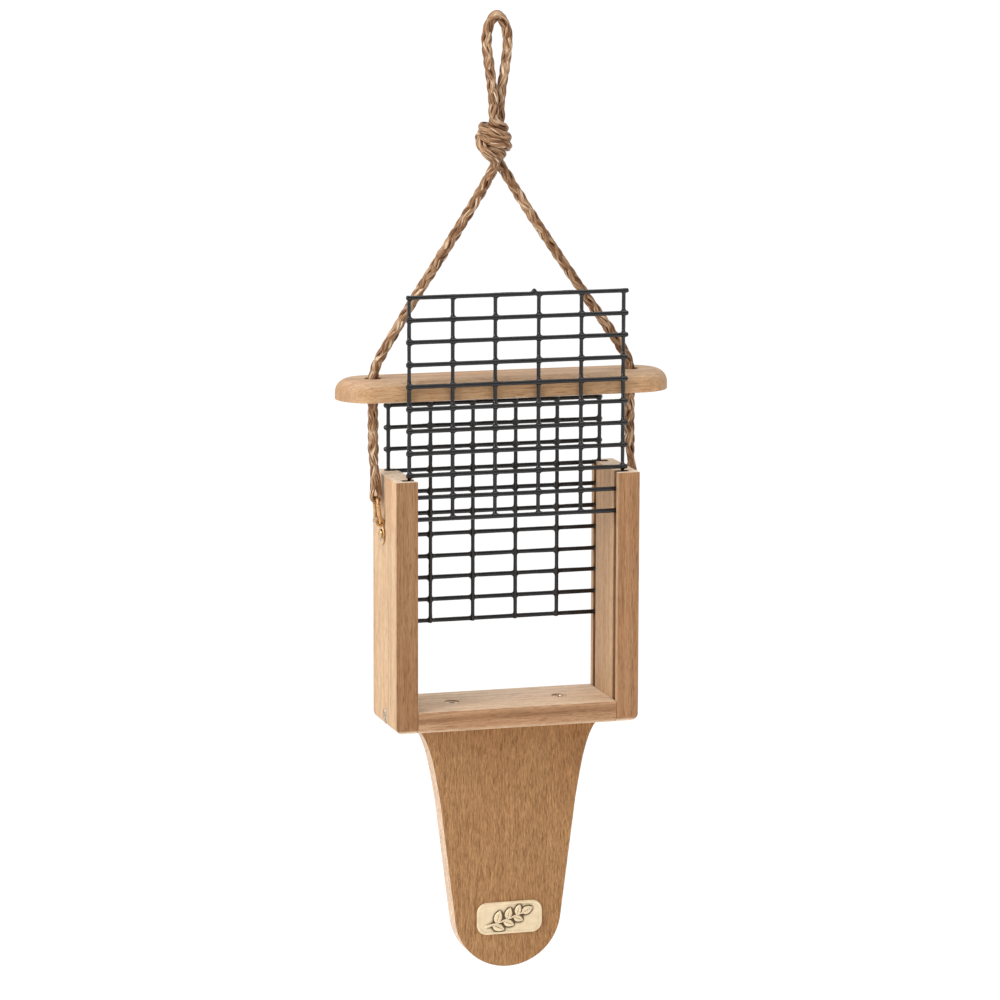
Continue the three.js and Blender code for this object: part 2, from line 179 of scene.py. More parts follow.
def wood(name, grain, face, edge, end, shift, figure=0.5, blush=0.6, grit=0.5, band=None, grooved=None):
    """Planed cedar. grain is the axis that its fibres follow, face and edge are the colours of the sides and of the
    front and back, end is the colour where the fibres are cut across, and shift moves the pattern for each board.
    edge is darker than face as painted shade: the fronts and backs get less light than the other sides.
    figure, blush and grit are how strongly growth rings, reddish patches and short streaks show. band is the height
    of a dark ring that runs along the board's front. grooved is a point on the face that the saw's two grooves are
    cut into, with 1 or -1 for the side that they run into: their walls are darkened, as painted shade in the recess
    and as the saw's scorching."""
    s = Shader(name, Specular_IOR_Level=0.3)
    place = s.coordinates()
    normal = s.add("SeparateXYZ", {0: s.coordinates("Normal")}).outputs
    facing = {axis: s.math("ABSOLUTE", normal["XYZ".index(axis)]) for axis in "XYZ"}

    def stretched(along, across):
        return s.scaled(place, tuple(along if axis == grain else across for axis in "XYZ"), shift)

    def darker(factor, colour, tint):
        return s.mix(factor, colour, s.mix(1.0, colour, tint, "MULTIPLY"))

    rings = s.noise(stretched(2.2, 170), detail=2, roughness=0.5, distortion=0.2)
    fibres = s.noise(stretched(45, 1000), detail=4, roughness=0.75)
    vessels = s.noise(stretched(130, 1250), detail=2)
    patches = s.noise(stretched(9, 30), detail=3)
    glow = s.noise(stretched(14, 48), detail=2)
    streaks = s.noise(stretched(260, 2400), detail=3, roughness=0.8)

    # The front and back take the darker edge colour: painted shade, as they get less light than the other sides.
    base = s.mix(s.range(facing["Y"], 0.5, 0.85), face, edge)
    base = darker(s.range(patches, 0.38, 0.66), base, (0.93, 0.88, 0.82))
    base = darker(s.range(glow, 0.5, 0.72, 0, blush), base, (1.06, 0.90, 0.82))
    base = darker(s.range(rings, 0.44, 0.6, 0, figure), base, (0.76, 0.70, 0.62))
    if band is not None:
        height = s.add("SeparateXYZ", {0: place}).outputs[2]
        height = s.math("ADD", height, s.range(s.noise(stretched(6, 20)), 0.3, 0.7, -0.0012, 0.0012))
        away = s.math("ABSOLUTE", s.math("SUBTRACT", height, band))
        base = darker(s.range(away, 0.0028, 0.0006, 0, 0.75), base, (0.60, 0.52, 0.44))
    base = darker(s.range(fibres, 0.66, 0.34), base, (0.70, 0.64, 0.57))
    base = darker(s.range(vessels, 0.56, 0.70, 0, 0.8), base, (0.60, 0.52, 0.44))
    base = darker(s.range(streaks, 0.50, 0.66, 0, grit), base, (0.48, 0.40, 0.32))
    base = darker(s.range(streaks, 0.48, 0.32, 0, grit), base, (1.42, 1.40, 1.34))

    if grooved is not None:
        face_point, into = grooved
        axes = s.add("SeparateXYZ", {0: place}).outputs
        inside = s.math("MULTIPLY", s.math("SUBTRACT", axes[0], face_point.x), into)
        aside = s.math("ABSOLUTE", s.math("SUBTRACT", axes[1], face_point.y))
        aside = s.math("ABSOLUTE", s.math("SUBTRACT", aside, GROOVE["offset"]))
        # Darkens the walls inside the grooves: painted shade in the recess, together with the saw's scorching.
        groove_shade_and_scorch = s.math("MULTIPLY", s.range(inside, *GROOVE["mouth"]), s.range(inside, *GROOVE["floor"]))
        groove_shade_and_scorch = s.math("MULTIPLY", groove_shade_and_scorch, s.range(aside, *GROOVE["sides"]))
        base = darker(s.math("MULTIPLY", groove_shade_and_scorch, 0.85), base, (0.16, 0.11, 0.08))

    end_rings = s.noise(s.scaled(place, (900, 160, 900) if grain == "Z" else (160, 900, 160), shift), detail=3)
    end_colour = darker(s.range(end_rings, 0.35, 0.65), end, (0.80, 0.74, 0.66))
    s.colour(s.mix(s.range(facing[grain], 0.5, 0.88), base, end_colour))
    s.roughness(s.range(fibres, 0.3, 0.7, 0.6, 0.8))
    height = s.math("ADD", s.math("MULTIPLY", fibres, 0.7), s.math("MULTIPLY", vessels, -0.5))
    s.bump(height, 0.00022, 0.8)
    return s.material


def coated_wire():
    s = Shader("coated_wire", Specular_IOR_Level=0.48)
    place = s.coordinates()
    lumps = s.noise(place, 420, detail=3)
    fine = s.noise(place, 2600, detail=2)
    s.colour(s.mix(s.range(lumps, 0.35, 0.7), (0.0035, 0.003, 0.0035), (0.010, 0.009, 0.010)))
    s.roughness(s.range(fine, 0.3, 0.7, 0.10, 0.20))
    s.bump(s.math("ADD", lumps, s.math("MULTIPLY", fine, 0.25)), 0.00012, 0.5)
    return s.material


def rope_material():
    """The braid's mesh carries where each point is on its strand, and how deep it lies between the strands: where it
    lies deep, the colour is darkened as painted shade.
    """
    s = Shader("rope", Specular_IOR_Level=0.22)
    fibre = s.attribute("fibre", "Vector")
    streaks = s.noise(s.scaled(fibre, (1.5, 1.5, 0.09)), detail=3, roughness=0.7)
    tone = s.noise(s.scaled(fibre, (0.5, 0.5, 0.06)), detail=1)
    stops = [(0.37, (0.075, 0.027, 0.010)), (0.46, (0.20, 0.090, 0.037)), (0.55, (0.39, 0.228, 0.120)),
             (0.67, (0.86, 0.67, 0.475))]
    base = s.ramp(s.math("ADD", s.math("MULTIPLY", streaks, 0.70), s.math("MULTIPLY", tone, 0.32)), stops)
    # Painted shade: the colour is darkened where a strand lies deep between the others.
    hollow = s.mix(1.0, base, (0.12, 0.05, 0.022), "MULTIPLY")
    s.colour(s.mix(s.range(s.attribute("depth"), 0.36, 0.80), hollow, base))
    s.roughness(s.range(streaks, 0.35, 0.65, 0.5, 0.32))
    s.bump(streaks, 0.0006, 0.9)
    return s.material


def brass(name, colour, roughness):
    s = Shader(name, Metallic=1.0)
    place = s.coordinates()
    stain = s.noise(place, 260, detail=4)
    scratches = s.noise(s.scaled(place, (600, 5200, 900)), detail=2)
    s.colour(s.mix(s.range(stain, 0.42, 0.66), colour, s.mix(1.0, colour, (0.55, 0.42, 0.34), "MULTIPLY")))
    s.roughness(s.range(stain, 0.3, 0.7, roughness, roughness + 0.16))
    s.bump(scratches, 0.00006, 0.5)
    return s.material


def badge_material():
    """Cast metal, pale where it was rubbed bright and dark where patina stayed in the hollows."""
    s = Shader("badge_metal", Metallic=0.35, Specular_IOR_Level=0.5)
    patina = s.attribute("patina")
    pitting = s.noise(s.coordinates(), 2400, detail=3)
    cloud = s.noise(s.coordinates(), 190, detail=2)
    bright = s.mix(s.range(cloud, 0.3, 0.7), (0.86, 0.69, 0.45), (0.74, 0.58, 0.37))
    stained = s.math("ADD", patina, s.range(pitting, 0.4, 0.7, -0.12, 0.16))
    s.colour(s.mix(s.range(stained, 0.18, 0.72), bright, (0.12, 0.075, 0.036)))
    s.roughness(s.range(stained, 0.1, 0.8, 0.40, 0.75))
    s.bump(pitting, 0.00012, 0.5)
    return s.material


def inside_node(node, point):
    """A point of the frame in the node's own coordinates, which its material reads."""
    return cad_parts[node].matrix_world.inverted() @ point


POST = {"inner": 59.5, "outer": 72.2}  # how far each post's faces are from the middle
BAND = inside_node("base_board", at(0, 0, -4.6)).z
GROOVED = {side: (inside_node(node, at(side * POST["inner"], 0, 0)), side)
           for side, node in ((-1, "left_post"), (1, "right_post"))}
LEFT_WOOD = {"face": (0.70, 0.50, 0.325), "edge": (0.42, 0.235, 0.118), "end": (0.88, 0.72, 0.56)}
RIGHT_WOOD = {"face": (0.64, 0.445, 0.285), "edge": (0.50, 0.285, 0.15), "end": (0.88, 0.72, 0.56)}
FLOOR_WOOD = {"face": (0.93, 0.74, 0.56), "edge": (0.60, 0.37, 0.22), "end": (0.62, 0.44, 0.29)}
TAIL_WOOD = {"face": (0.80, 0.62, 0.48), "edge": (0.475, 0.262, 0.116), "end": (0.70, 0.50, 0.34)}
ROOF_WOOD = {"face": (0.66, 0.475, 0.325), "edge": (0.66, 0.43, 0.25), "end": (0.46, 0.28, 0.155)}
WOODS = {
    "left_post": wood("left_post_wood", "Z", shift=(0.31, 0.07, 0.2), grit=0.35, grooved=GROOVED[-1], **LEFT_WOOD),
    "right_post": wood("right_post_wood", "Z", shift=(1.7, 0.53, 1.1), grit=0.35, grooved=GROOVED[1], **RIGHT_WOOD),
    "base_board": wood("floor_wood", "X", shift=(0.9, 1.21, 0.4), band=BAND, grit=0.4, blush=0.3, **FLOOR_WOOD),
    "tail_board": wood("tail_wood", "Z", shift=(2.3, 0.9, 0.6), figure=0.3, blush=0, grit=0.9, **TAIL_WOOD),
    "roof": wood("roof_wood", "X", shift=(0.5, 2.7, 1.9), grit=0.4, **ROOF_WOOD),
}
WIRE = coated_wire()
ROPE = rope_material()
BRASS = brass("hanger_brass", (0.70, 0.47, 0.23), 0.16)
STEEL = brass("screw_steel", (0.66, 0.54, 0.40), 0.26)
BADGE = badge_material()

# ---- Mesh tools ----


def new_piece(name, vertices, faces, material):
    """A smooth-shaded mesh object from vertices in millimetres."""
    mesh = bpy.data.meshes.new(name)
    mesh.from_pydata([tuple(at(*map(float, v))) for v in vertices], [], [tuple(map(int, f)) for f in faces])
    mesh.materials.append(material)
    mesh.polygons.foreach_set("use_smooth", np.ones(len(mesh.polygons), bool))
    piece = bpy.data.objects.new(name, mesh)
    bpy.context.scene.collection.objects.link(piece)
    return piece


def settle(piece):
    """Applies the piece's modifiers to its mesh."""
    shaped = piece.evaluated_get(bpy.context.evaluated_depsgraph_get())
    mesh = bpy.data.meshes.new_from_object(shaped)
    piece.modifiers.clear()
    old, piece.data = piece.data, mesh
    bpy.data.meshes.remove(old)


def join(shapes):
    """One list of vertices and one of faces from several."""
    vertices, faces, count = [], [], 0
    for some_vertices, some_faces in shapes:
        vertices.append(np.asarray(some_vertices, float))
        faces += [[i + count for i in face] for face in some_faces]
        count += len(some_vertices)
    return np.vstack(vertices), faces


def loft(rings):
    """A skin over rings of points, all with the same count, with flat ends."""
    rings = np.asarray(rings, float)
    count, sides = rings.shape[:2]
    faces = []
    for i in range(count - 1):
        a, b = i * sides, (i + 1) * sides
        faces += [[a + k, a + (k + 1) % sides, b + (k + 1) % sides, b + k] for k in range(sides)]
    faces += [list(range(sides))[::-1], [(count - 1) * sides + k for k in range(sides)]]
    return rings.reshape(-1, 3), faces


def smooth_route(points, step):
    """Points a step apart on a smooth curve through the given ones, and how far along each one is."""
    p = np.array(points, float)
    p = np.vstack([2 * p[0] - p[1], p, 2 * p[-1] - p[-2]])
    t = np.linspace(0, 1, 24, endpoint=False)[:, None]
    pieces = [
        0.5 * (2 * b + (c - a) * t + (2 * a - 5 * b + 4 * c - d) * t**2 + (3 * b - a - 3 * c + d) * t**3)
        for a, b, c, d in zip(p, p[1:], p[2:], p[3:])
    ]
    dense = np.vstack([*pieces, p[-2:-1]])
    lengths = np.concatenate([[0], np.cumsum(np.linalg.norm(np.diff(dense, axis=0), axis=1))])
    along = np.linspace(0, lengths[-1], max(3, round(lengths[-1] / step) + 1))
    return np.column_stack([np.interp(along, lengths, dense[:, k]) for k in range(3)]), along


def unit(vectors):
    return vectors / np.linalg.norm(vectors, axis=-1, keepdims=True)


def directions_across(route):
    """Two unit directions across the route at each point, carried along it without twist."""
    tangent = unit(np.gradient(route, axis=0))
    across = np.empty_like(route)
    last = np.array((0.0, 1.0, 0.0))
    for i, t in enumerate(tangent):
        last = unit(last - (last @ t) * t)
        across[i] = last
    return across, np.cross(tangent, across)


def tube(route, radius, sides):
    """A round tube along a route. radius is one number, or one for each point."""
    across, over = directions_across(route)
    angle = np.linspace(0, 2 * math.pi, sides, endpoint=False)
    radius = np.broadcast_to(radius, len(route))[:, None, None]
    ring = np.cos(angle)[None, :, None] * across[:, None] + np.sin(angle)[None, :, None] * over[:, None]
    return loft(route[:, None] + radius * ring)


def turned(profile, sides=32):
    """A body turned about Z from (radius, z) points that run from its bottom to its top."""
    angle = np.linspace(0, 2 * math.pi, sides, endpoint=False)
    return loft([[(r * math.cos(a), r * math.sin(a), z) for a in angle] for r, z in profile])


def moved(shape, matrix):
    vertices, faces = shape
    turn = np.array(matrix.to_4x4())
    return np.asarray(vertices) @ turn[:3, :3].T + turn[:3, 3], faces


def carve(piece, cutter):
    """Cuts the shape of one piece out of another."""
    knife = piece.modifiers.new("carve", "BOOLEAN")
    knife.object = cutter
    settle(piece)
    bpy.data.objects.remove(cutter)


# ---- Rope ----

ROPE_Y = sum(v.y for v in span("rope_left_eye")) / 2
BRAID = {"strands": 4, "pitch": 54.0, "core": 2.0, "weave": 0.36, "wide": 3.1, "thick": 1.5, "sides": 14,
         "ridges": 7, "step": 0.8, "hollow": 1.75, "filling": 1.5}


def braid(name, route, width=1.0, thick=1.0, seed=0):
    """A hollow braid: four strands wind each way round the route, and each passes over and under the others.
    width and thick scale it across the route, as numbers or as functions of the distance along it."""
    centre, along = smooth_route(route, BRAID["step"])
    across, over = directions_across(centre)
    scale = [np.array([f(a) for a in along]) if callable(f) else np.full(len(along), f) for f in (width, thick)]
    section = np.linspace(0, 2 * math.pi, BRAID["sides"], endpoint=False)
    ridges = 1 + 0.07 * np.cos(BRAID["ridges"] * section)
    shapes, fibre, depth = [], [], []
    for strand in range(2 * BRAID["strands"]):
        hand = 1 if strand % 2 else -1
        start = strand // 2 * 2 * math.pi / BRAID["strands"]
        wander = 0.12 * np.sin(along / 9.7 + 2.1 * strand + seed)
        angle = hand * 2 * math.pi * along / BRAID["pitch"] + start + wander
        lift = hand * BRAID["weave"] * np.cos(2 * math.pi * BRAID["strands"] * along / BRAID["pitch"])
        lift += 0.12 * np.sin(along / 5.3 + 1.7 * strand + seed)
        radius = BRAID["core"] + lift
        wide = BRAID["wide"] / 2 * (1 + 0.10 * np.sin(along / 6.1 + strand))
        side = np.cos(section)[None] * ridges * wide[:, None]
        up = np.sin(section)[None] * ridges * BRAID["thick"] / 2 + radius[:, None]
        # The strand lies on the braid's round surface, so its width is wrapped round it.
        wrap = angle[:, None] + side / BRAID["core"] * 0.92
        u = up * np.cos(wrap) * scale[0][:, None]
        v = up * np.sin(wrap) * scale[1][:, None]
        rings = centre[:, None] + u[..., None] * across[:, None] + v[..., None] * over[:, None]
        shapes.append(loft(rings))
        turn = np.broadcast_to(section, u.shape)
        distance = np.broadcast_to(along[:, None], u.shape)
        place = np.stack([np.cos(turn) + 7.3 * strand, np.sin(turn) + seed, distance], -1)
        fibre.append(place.reshape(-1, 3))
        # depth is read by the rope's material, which paints shade where a point lies low between the strands.
        depth.append(np.clip(up - BRAID["hollow"], 0, 1).reshape(-1))
    core = tube(centre, BRAID["filling"] * np.minimum(*scale), 8)
    shapes.append(core)
    fibre.append(np.zeros((len(core[0]), 3)))
    depth.append(np.zeros(len(core[0])))
    piece = new_piece(name, *join(shapes), ROPE)
    piece.data.attributes.new("fibre", "FLOAT_VECTOR", "POINT").data.foreach_set("vector", np.vstack(fibre).ravel())
    piece.data.attributes.new("depth", "FLOAT", "POINT").data.foreach_set("value", np.concatenate(depth))
    path = [tuple(at(*p)) for p in [*centre[:-2:2], centre[-1]]]
    return piece, path, along[-1] * MM


def rope_route(points):
    """Route points (x, z) in the hangers' plane, or (x, z, y) where the rope leaves it."""
    return [(p[0], p[2] if len(p) > 2 else ROPE_Y, p[1]) for p in points]


LEFT_LEG = [
    (-77.6, 136.5), (-77.7, 141), (-78, 152), (-78.1, 165), (-78.1, 178), (-78, 188), (-76.4, 196), (-72.2, 204.2),
    (-64.5, 216.6), (-54, 233.5), (-43, 250.1), (-31.9, 266.9), (-21, 283.7), (-11.3, 300.2, 2.4), (-7.3, 309.2, 0.7),
    (-5.8, 317, 1.5),
]
RIGHT_LEG = [
    (76.2, 136.5), (75.8, 141), (75.3, 152), (75.1, 165), (75.1, 178), (75, 188), (73.4, 195.5), (69.4, 202.8),
    (61.6, 214), (50.4, 229.4), (37.9, 247.2), (25.5, 265.2), (13.7, 282.7), (2.8, 300.4, 4.8), (-2.4, 309.2, 6.4),
    (-4.6, 317, 6),
]
# From the tucked tail, round the top of the ring and up into the leg: (towards the middle, up) from the ring's top.
EYE = [
    (0.2, 18), (0.7, 14), (1.0, 9.6), (1.6, 5), (2.3, 1), (1.9, -1.5), (0, -2.4), (-1.9, -1.5), (-2.3, 1),
    (-1.7, 5.5), (-1.3, 10.1),
]
LOOP = [
    (-7.2, 2.2, 327), (-7.7, 1.3, 337.4), (-7.8, 1.5, 344), (-8.3, 2.2, 352), (-9.4, 3, 362), (-10.9, 3.4, 373),
    (-11.3, 3.5, 381), (-9.6, 3.5, 389), (-5.2, 3.5, 393.8), (-0.8, 3.5, 389), (1, 3.5, 381), (0.5, 3.6, 372),
    (-0.6, 4.2, 362), (-2, 5, 352), (-2.7, 5.6, 344), (-2.8, 5.7, 337.4), (-3.6, 5, 327),
]
RING_TOP = {-1: (-76.6, 121.1), 1: (76.6, 121.1)}
EYE_END = 46  # how far along the rope its flattened end reaches
KNOT_X = -6.8


def rope_leg(side, name, route):
    """A leg of the rope with its eye: the end is flattened, passes through the ring and is tucked back into itself."""
    ring_x, ring_z = RING_TOP[side]
    eye = [(ring_x - side * x, ring_z + z) for x, z in EYE]

    def flat(distance):
        stations = [0, 12, 18, EYE_END - 18, EYE_END - 6, EYE_END + 6]
        return float(np.interp(distance, stations, [0.5, 0.6, 0.44, 0.44, 0.7, 1]))

    def wide(distance):
        return float(np.interp(distance, [0, 6, 17, 25, EYE_END, EYE_END + 8], [0.7, 1.0, 0.86, 0.86, 1, 1]))

    leg, path, length = braid(name, rope_route(eye + route), wide, flat, seed=side)
    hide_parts(name.replace("_braid", ""), name.replace("_leg_braid", "_eye"))
    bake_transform(leg)


def knot_coil():
    """The bight's wraps round its own neck: small at the top, widest below the middle, tilted down to the right."""
    points = []
    for i in range(41):
        turn = i / 12
        angle = math.radians(215 + 30 * i)
        radius = np.interp(turn, [0, 0.9, 1.7, 2.5, 3.4], [3.9, 6.6, 8.1, 7.5, 4.2])
        z = 333.2 - 5.1 * turn - 1.5 * math.cos(angle)
        points.append((KNOT_X + np.interp(turn, [0, 1], [1.2, 0]) + radius * math.cos(angle),
                       ROPE_Y + radius * math.sin(angle) * 0.94, z))
    return points


KNOT_TUCK = [(-11.5, 9.5, 327.5), (-14.2, 5.5, 325.5), (-15.8, 0, 321.8), (-14.2, -4.2, 317.6), (-10.8, -4.8, 314),
             (-8, -1.6, 312.8), (-7.2, 3.4, 313.8), (-6.6, 7.4, 317)]


def make_rope():
    rope_leg(-1, "rope_left_leg_braid", LEFT_LEG)
    rope_leg(1, "rope_right_leg_braid", RIGHT_LEG)
    parts = [("rope_knot_braid", knot_coil(), ["rope_knot"]), ("rope_knot_tuck_braid", KNOT_TUCK, []),
             ("rope_loop_braid", LOOP, ["rope_loop"])]
    for number, (name, route, nodes) in enumerate(parts):
        piece, path, length = braid(name, route, 0.98, 0.98, seed=3 + number)
        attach(piece, "frame")
        if nodes:
            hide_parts(*nodes)


make_rope()

# ---- Grilles ----

# flat and upright are the radii of the level and the upright wires, stub is how far a level wire's end stands out,
# and spread is how far apart the two layers of wires are.
MESH = {"columns": 5, "rows": 10, "cell_x": 25.4, "flat": 1.36, "upright": 1.22, "stub": 1.0, "spread": 0.95}
FILLET = {"leg": 2.95, "half": 0.8}


def wobble(count, amount, seed):
    """Small smooth sideways errors along a wire."""
    t = np.linspace(0, 1, count)
    return amount * (np.sin(7.1 * t + 2.3 * seed) + 0.6 * np.sin(15.7 * t + 4.1 * seed))


def fillet(x, y, z, right, up):
    """The web of coating in one corner of a crossing: a triangle whose legs lie inside the two wires."""
    leg, half = FILLET["leg"], FILLET["half"]
    corners = [(x, z), (x + right * leg, z), (x, z + up * leg)][:: right * up]
    return loft([[(a, y + side * half, b) for a, b in corners] for side in (1, -1)])


def grille(node, outward, seed, drips=()):
    """Welded wires dipped in vinyl: the coating fillets each crossing, leaves a bead on each wire's end and sets in
    a few drips, given as (x, height), on the top wire."""
    low, high = span(node)
    middle = (low + high) / 2
    width = MESH["columns"] * MESH["cell_x"]
    shapes = []

    def wire(start, end, radius, number):
        count = 60
        route = np.linspace(start, end, count)
        route[:, 1] += wobble(count, 0.06, number + seed)
        swell = radius * (1 + 0.03 * np.sin(np.linspace(0, 23, count) + number))
        shapes.append(tube(route, swell, 12))
        for tip, next_in in ((route[0], route[1]), (route[-1], route[-2])):
            inward = unit(next_in - tip)
            bead = [(0.02, -0.25), (0.6, -0.15), (1.0, 0.2), (1.12, 0.7), (1.0, 1.3)]
            turn = Vector(inward).to_track_quat("Z", "Y").to_matrix().to_4x4()
            shape = turned([(r * radius, z) for r, z in bead], 12)
            shapes.append(moved(shape, Matrix.Translation(Vector(tip + inward * 0.25)) @ turn))

    reach = width / 2 + MESH["upright"] + MESH["stub"]
    bottom, top = low.z + MESH["flat"], high.z - MESH["flat"]
    for row in range(MESH["rows"] + 1):
        z = bottom + row * (top - bottom) / MESH["rows"] + 0.12 * math.sin(3.3 * row + seed)
        y = middle.y + outward * MESH["spread"] * 0.7
        wire((middle.x - reach, y, z), (middle.x + reach, y, z), MESH["flat"], row)
    for column in range(MESH["columns"] + 1):
        x = middle.x - width / 2 + column * MESH["cell_x"] + 0.2 * math.sin(2.3 * column + seed)
        y = middle.y - outward * MESH["spread"] * 0.7
        wire((x, y, low.z), (x, y, high.z), MESH["upright"], 20 + column)
        for row in range(MESH["rows"] + 1):
            z = bottom + row * (top - bottom) / MESH["rows"]
            for right, up in ((-1, -1), (-1, 1), (1, -1), (1, 1)):
                if 0 <= column + (right - 1) / 2 < MESH["columns"] and 0 <= row + (up - 1) / 2 < MESH["rows"]:
                    shapes.append(fillet(x, middle.y, z, right, up))
    for x, tall in drips:
        place = Matrix.Translation((middle.x + x, middle.y + outward * 0.6, top + 0.5))
        shapes.append(moved(turned([(1.7, 0), (1.55, tall * 0.5), (1.0, tall * 0.85), (0.05, tall)], 12), place))
    piece = new_piece(node + "_mesh", *join(shapes), WIRE)
    skin = piece.modifiers.new("coating", "REMESH")
    skin.mode = "VOXEL"
    skin.voxel_size = 0.4 * MM
    skin.use_smooth_shade = True
    relax = piece.modifiers.new("fillets", "CORRECTIVE_SMOOTH")
    relax.iterations = 6
    relax.use_only_smooth = True
    settle(piece)
    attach(piece, node)
    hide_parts(node)


grille("front_grille", -1, 0.0, drips=[(9.6, 2.8)])
grille("back_grille", 1, 1.3)

# ---- Boards ----


def soften(node, width):
    """Breaks a board's sharp edges, as sanding does."""
    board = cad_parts[node]
    weld = board.modifiers.new("weld", "WELD")
    weld.merge_threshold = 0.01 * MM
    edge = board.modifiers.new("edges", "BEVEL")
    edge.width = width * MM
    edge.segments = 3
    edge.limit_method = "ANGLE"
    edge.angle_limit = math.radians(40)
    edge.harden_normals = True


for node, material in WOODS.items():
    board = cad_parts[node]
    board.data.materials.clear()
    board.data.materials.append(material)
    soften(node, 0.5)

# ---- Hangers ----

AXIS_X = 75.0  # the rings' hinge
AXIS_Z = 106.8
PLATE_FACE = 72.5  # the strap's back
RING = {"wire": 1.0, "half_width": 4.8, "height": 14.3, "corner": 1.6, "lean": 1.6}
STRAP = {"width": 10.0, "thick": 0.9, "bottom": 93.5, "screw_z": 99.8}
BARREL = {"outer": 2.5, "bore": 1.3, "half": 3.4, "shoulder": 103.4}


def arc(centre, radius, start, end, count):
    angles = np.radians(np.linspace(start, end, count))
    return [(centre[0] + radius * math.cos(a), centre[1] + radius * math.sin(a)) for a in angles]


def ring(side, name):
    half, corner = RING["half_width"], RING["corner"]
    shoulder = RING["height"] - half
    right = [(0.2, 0), *arc((half - corner, corner), corner, -90, 0, 7)]
    left = [(-y, z) for y, z in right[::-1]]
    outline = [*right, *arc((0, shoulder), half, 0, 180, 33), *left]
    slope = RING["lean"] / RING["height"]
    route = [(side * (AXIS_X + slope * z), ROPE_Y + y, AXIS_Z + z * math.cos(math.atan(slope))) for y, z in outline]
    piece = new_piece(name + "_hanger_ring_wire", *tube(smooth_route(route, 0.35)[0], RING["wire"], 18), BRASS)
    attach(piece, name + "_ring")
    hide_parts(name + "_hanger_ring")


def prism(outline, lift, thickness, rim):
    """A plate from an outline of (a, b) points at a height, its top edge rounded by rim. Points are (a, b, height)."""
    outline = np.array(outline, float)
    middle = outline.mean(0)
    ahead = unit(np.roll(outline, -1, 0) - np.roll(outline, 1, 0))
    inward = np.stack([-ahead[:, 1], ahead[:, 0]], 1)
    if ((middle - outline) * inward).sum() < 0:
        inward = -inward
    levels = [(0, 0), (0, thickness - rim)]
    levels += [(rim * (1 - math.cos(a)), thickness - rim * (1 - math.sin(a))) for a in (0.4, 0.8, 1.2, math.pi / 2)]
    return loft([[(*(p + d * inset), lift + up) for p, d in zip(outline, inward)] for inset, up in levels])


def strap(side, name):
    """A plate on the post's outer side, with its top rolled into a barrel for the ring."""
    half, neck, shoulder = STRAP["width"] / 2, BARREL["half"], BARREL["shoulder"]
    right = [(neck, AXIS_Z), (neck, shoulder), (half, shoulder - half + neck)]
    outline = [*right, *arc((0, STRAP["bottom"] + half), half, 0, -180, 25), *[(-y, z) for y, z in right[::-1]]]
    plate = prism(outline, 0, STRAP["thick"], 0.3)
    stand = Matrix(((0, 0, side, side * PLATE_FACE), (1, 0, 0, ROPE_Y), (0, 1, 0, 0), (0, 0, 0, 1)))
    outer = arc((AXIS_X, AXIS_Z), BARREL["outer"], 182, -150, 33)
    inner = arc((AXIS_X, AXIS_Z), BARREL["bore"], -150, 182, 33)
    ends = [-neck, -neck + 0.2, neck - 0.2, neck]
    curl = [[(side * x, ROPE_Y + y, z) for x, z in outer + inner] for y in ends]
    piece = new_piece(name + "_hanger_strap_plate", *join([moved(plate, stand), loft(curl)]), BRASS)
    crisp(piece, 35)
    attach(piece, "frame")
    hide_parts(name + "_hanger_strap")


def crisp(piece, angle):
    """Smooth shading, with the edges sharper than the angle kept."""
    piece.data.polygons.foreach_set("use_smooth", np.ones(len(piece.data.polygons), bool))
    piece.data.set_sharp_from_angle(angle=math.radians(angle))


def cross_cutter(reach, wide, depth, top):
    """A cross recess's two crossed blades, narrower at the bottom."""
    blades = []
    for turn in (0, math.pi / 2):
        low = [(x * reach * 0.55, y * wide * 0.7, top - depth) for x, y in ((-1, -1), (1, -1), (1, 1), (-1, 1))]
        high = [(x * reach, y * wide, top + 0.4) for x, y in ((-1, -1), (1, -1), (1, 1), (-1, 1))]
        blades.append(moved(loft([low, high]), Matrix.Rotation(turn, 4, "Z")))
    return blades


def screw(name, body, node, slot_name, profile, place, top, recess, blades=2):
    """A turned screw with a cross or a slot in its head."""
    material = BRASS if slot_name == "hanger_brass" else STEEL
    piece = new_piece(name, *moved(turned(profile), place), material)
    for blade in cross_cutter(*recess, top)[:blades]:
        carve(piece, new_piece("cutter", *moved(blade, place), material))
    crisp(piece, 30)
    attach(piece, body)
    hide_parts(node)


def threaded(shank, start, end, lead=1.4):
    """The zigzag of a wood screw's thread, from its point up, as (radius, z) points."""
    points = [(0.02, start), (shank * 0.55, start + 3.5)]
    z = start + 4
    while z + lead < end:
        points += [(shank * 0.72, z), (shank, z + lead * 0.35), (shank * 0.72, z + lead * 0.7)]
        z += lead
    return [*points, (shank * 0.85, end)]


def countersunk(head, depth, shank, length):
    return [*threaded(shank, -length, -length * 0.4), (shank * 0.85, -depth), (head, -0.5), (head, -0.25),
            (head - 0.25, -0.06), (head * 0.5, 0), (0.02, 0)]


DOME = [*threaded(1.2, -10.5, -0.6, 1.0), (1.2, 0), (2.7, 0), (2.7, 0.3), (2.45, 0.62), (1.9, 0.95), (1.1, 1.2),
        (0.02, 1.3)]
FRAME_SCREW_Z = -6.35
TAIL_SCREW = {"x": 32.3, "sunk": 0.5}


